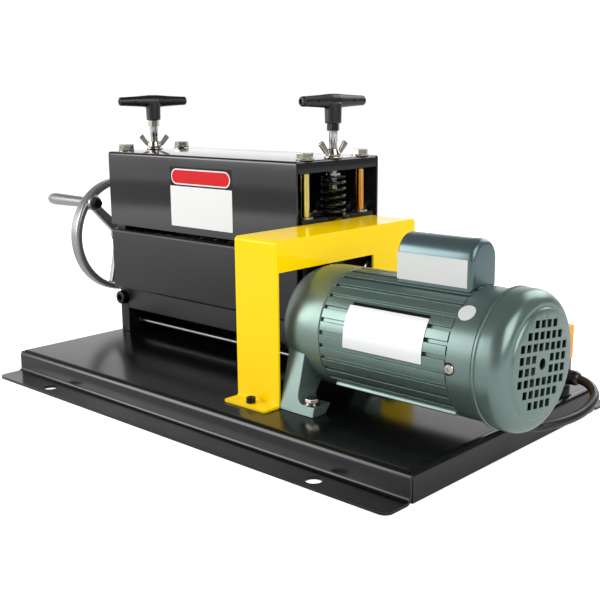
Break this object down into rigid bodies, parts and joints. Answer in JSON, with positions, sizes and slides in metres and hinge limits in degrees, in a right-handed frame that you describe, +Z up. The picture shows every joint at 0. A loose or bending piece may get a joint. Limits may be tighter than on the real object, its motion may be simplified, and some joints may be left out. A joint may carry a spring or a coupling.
{
  "type": "electric wire stripping machine",
  "caption": "Bench wire stripper with a folded base pan, slitting head on side plates, T-handle pressure screws, hand wheel with crank, chain guard and finned gear motor.",
  "frame": {"origin": "middle of the whole machine's footprint, on the table under the base flanges", "axes": "+X along the rollers from the crank to the motor, -Y towards the side where wires are fed in, +Z up"},
  "size_m": [0.8376, 0.405, 0.3469],
  "materials": {
    "black_powder_coat": "satin black powder coat on steel",
    "yellow_powder_coat": "gloss yellow powder coat on sheet steel",
    "grey_green_paint": "semi-gloss grey-green paint on cast and drawn aluminium",
    "bright_steel": "nickel or zinc plated steel",
    "yellow_zinc": "yellow zinc plated steel",
    "dark_steel": "black oxide and oiled steel",
    "tool_steel": "ground tool steel",
    "grey_iron": "grey painted cast iron, machined rim",
    "black_plastic": "moulded black plastic",
    "grey_plastic": "moulded grey plastic",
    "yellow_plastic": "moulded yellow plastic",
    "green_plastic": "moulded green plastic",
    "red_plastic": "moulded red plastic",
    "black_sheath": "black rubber cable sheath"
  },
  "bodies": {
    "frame": {"base_pan": "black_powder_coat", "side_plate_left": "black_powder_coat", "side_plate_right": "black_powder_coat", "crossbar_front": "black_powder_coat", "crossbar_rear": "black_powder_coat", "tie_rod_front": "bright_steel", "tie_rod_rear": "bright_steel", "feed_bearing_left": "bright_steel", "feed_bearing_right": "bright_steel", "pillar_left_front": "yellow_zinc", "pillar_left_rear": "yellow_zinc", "pillar_right_front": "yellow_zinc", "pillar_right_rear": "yellow_zinc", "top_plate": "dark_steel", "hood": "black_powder_coat", "lower_front_cover": "black_powder_coat", "lower_rear_cover": "black_powder_coat", "wire_guide": "bright_steel", "drive_chain": "dark_steel", "guard": "yellow_powder_coat", "guard_screw_front": "dark_steel", "guard_screw_rear": "dark_steel", "gear_housing": "grey_green_paint", "foot_bolt_front": "bright_steel", "foot_bolt_rear": "bright_steel", "motor_body": "grey_green_paint", "end_shield": "grey_green_paint", "fan_cover": "grey_green_paint", "capacitor_box": "grey_green_paint", "capacitor_cap": "grey_green_paint", "switch_base": "grey_plastic", "switch_cover": "yellow_plastic", "switch_gland": "black_plastic", "motor_gland": "black_plastic", "motor_lead": "black_sheath"},
    "feed_drive": {"feed_shaft": "bright_steel", "feed_roller": "dark_steel", "feed_sprocket": "dark_steel", "hand_wheel": "grey_iron", "wheel_nut": "bright_steel", "crank_pin": "dark_steel"},
    "crank_handle": {"crank_grip": "grey_iron"},
    "gearbox_output": {"output_shaft": "dark_steel"},
    "rotor": {"rotor_and_fan": "dark_steel"},
    "blade_carriage": {"blade_block_left": "dark_steel", "blade_block_right": "dark_steel", "spring_left": "dark_steel", "spring_right": "dark_steel"},
    "blade_arbor": {"blade_shaft": "bright_steel", "blade_stack": "tool_steel"},
    "washer_left": {"pressure_washer_left": "dark_steel"},
    "screw_left": {"pressure_screw_left": "bright_steel", "tee_handle_left": "black_plastic"},
    "washer_right": {"pressure_washer_right": "dark_steel"},
    "screw_right": {"pressure_screw_right": "bright_steel", "tee_handle_right": "black_plastic"},
    "wing_left": {"wing_nut_left": "bright_steel"},
    "wing_right": {"wing_nut_right": "bright_steel"},
    "start": {"start_button": "green_plastic"},
    "stop": {"stop_button": "red_plastic"}
  },
  "joints": [
    {"name": "feed_spin", "type": "hinge", "parent": "frame", "child": "feed_drive", "pos_m": [0, 0.045, 0.15], "axis": [1, 0, 0], "continuous": true},
    {"name": "grip_spin", "type": "hinge", "parent": "feed_drive", "child": "crank_handle", "pos_m": [-0.374, -0.00501, 0.19898], "axis": [1, 0, 0], "continuous": true},
    {"name": "output_spin", "type": "hinge", "parent": "frame", "child": "gearbox_output", "pos_m": [0.14, -0.0462, 0.1096], "axis": [1, 0, 0], "continuous": true},
    {"name": "rotor_spin", "type": "hinge", "parent": "frame", "child": "rotor", "pos_m": [0.28, -0.0462, 0.1096], "axis": [1, 0, 0], "continuous": true},
    {"name": "blade_lift", "type": "slide", "parent": "frame", "child": "blade_carriage", "axis": [0, 0, 1], "range_m": [0, 0.01], "stiffness_N_per_m": 6000, "springref_m": -0.004, "deforming": ["spring_left", "spring_right"]},
    {"name": "blade_spin", "type": "hinge", "parent": "blade_carriage", "child": "blade_arbor", "pos_m": [-0.071, 0.045, 0.1936], "axis": [1, 0, 0], "continuous": true},
    {"name": "pressure_left", "type": "slide", "parent": "frame", "child": "washer_left", "axis": [0, 0, 1], "range_m": [-0.006, 0.0015], "deforming": ["spring_left"]},
    {"name": "screw_turn_left", "type": "hinge", "parent": "washer_left", "child": "screw_left", "pos_m": [-0.2336, 0.045, 0.3], "axis": [0, 0, 1], "range_deg": [-1441, 361]},
    {"name": "pressure_right", "type": "slide", "parent": "frame", "child": "washer_right", "axis": [0, 0, 1], "range_m": [-0.006, 0.0015], "deforming": ["spring_right"]},
    {"name": "screw_turn_right", "type": "hinge", "parent": "washer_right", "child": "screw_right", "pos_m": [0.0916, 0.045, 0.3], "axis": [0, 0, 1], "range_deg": [-1441, 361]},
    {"name": "wing_turn_left", "type": "hinge", "parent": "frame", "child": "wing_left", "pos_m": [-0.2336, 0.045, 0.28], "axis": [0, 0, 1], "continuous": true},
    {"name": "wing_turn_right", "type": "hinge", "parent": "frame", "child": "wing_right", "pos_m": [0.0916, 0.045, 0.28], "axis": [0, 0, 1], "continuous": true},
    {"name": "start_press", "type": "slide", "parent": "frame", "child": "start", "axis": [0, 0, -1], "range_m": [0, 0.003], "stiffness_N_per_m": 300, "springref_m": -0.002},
    {"name": "stop_press", "type": "slide", "parent": "frame", "child": "stop", "axis": [0, 0, -1], "range_m": [0, 0.003], "stiffness_N_per_m": 300, "springref_m": -0.002}
  ],
  "couplings": [
    {"joint": "screw_turn_left", "follows": "pressure_left", "rad_per_m": 4188.8},
    {"joint": "screw_turn_right", "follows": "pressure_right", "rad_per_m": 4188.8}
  ]
}
